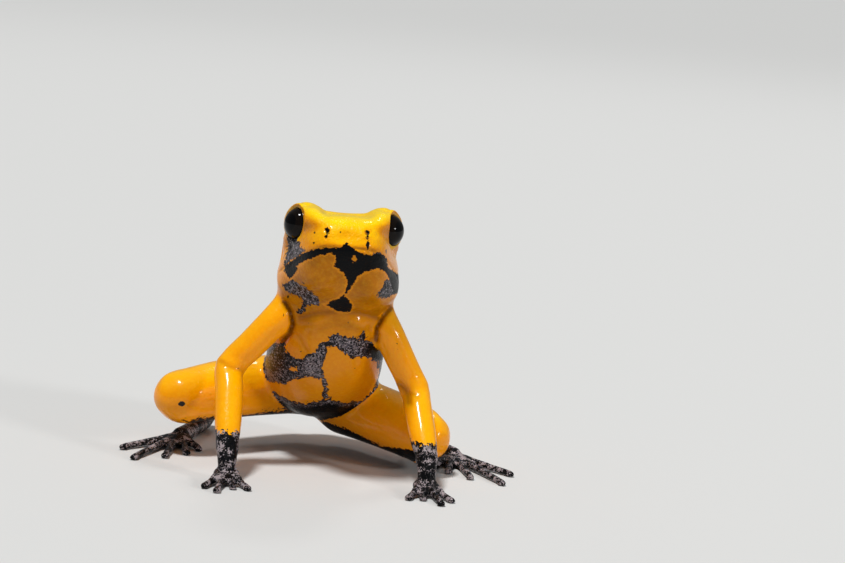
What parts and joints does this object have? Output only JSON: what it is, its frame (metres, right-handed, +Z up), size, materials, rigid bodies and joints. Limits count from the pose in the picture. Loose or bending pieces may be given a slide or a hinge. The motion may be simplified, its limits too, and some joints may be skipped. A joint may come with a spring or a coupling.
{
  "type": "golden poison frog",
  "caption": "Life-size still model of a small smooth-skinned frog that sits upright on straight forelegs, knees out and hind feet flat.",
  "frame": {"origin": "on the ground at the middle of the frog's own box, seen from above", "axes": "+Z up; the frog faces -Y; +X is its left side"},
  "size_m": [0.0518, 0.0394, 0.0347],
  "materials": {
    "skin_orange": "moist, finely grained orange skin with a soft gloss and black and grey mottling below",
    "skin_black": "moist black skin with pale grey granules",
    "eye_black": "polished, wet black"
  },
  "bodies": {
    "root": {"head": "skin_orange", "torso": "skin_orange", "eye_right": "eye_black", "eye_left": "eye_black", "upper_arm_right": "skin_orange", "upper_arm_left": "skin_orange", "forearm_right": "skin_orange", "forearm_left": "skin_orange", "hand_right": "skin_black", "hand_left": "skin_black", "thigh_right": "skin_orange", "thigh_left": "skin_orange", "shank_right": "skin_orange", "shank_left": "skin_orange", "foot_right": "skin_black", "foot_left": "skin_black"}
  },
  "joints": []
}
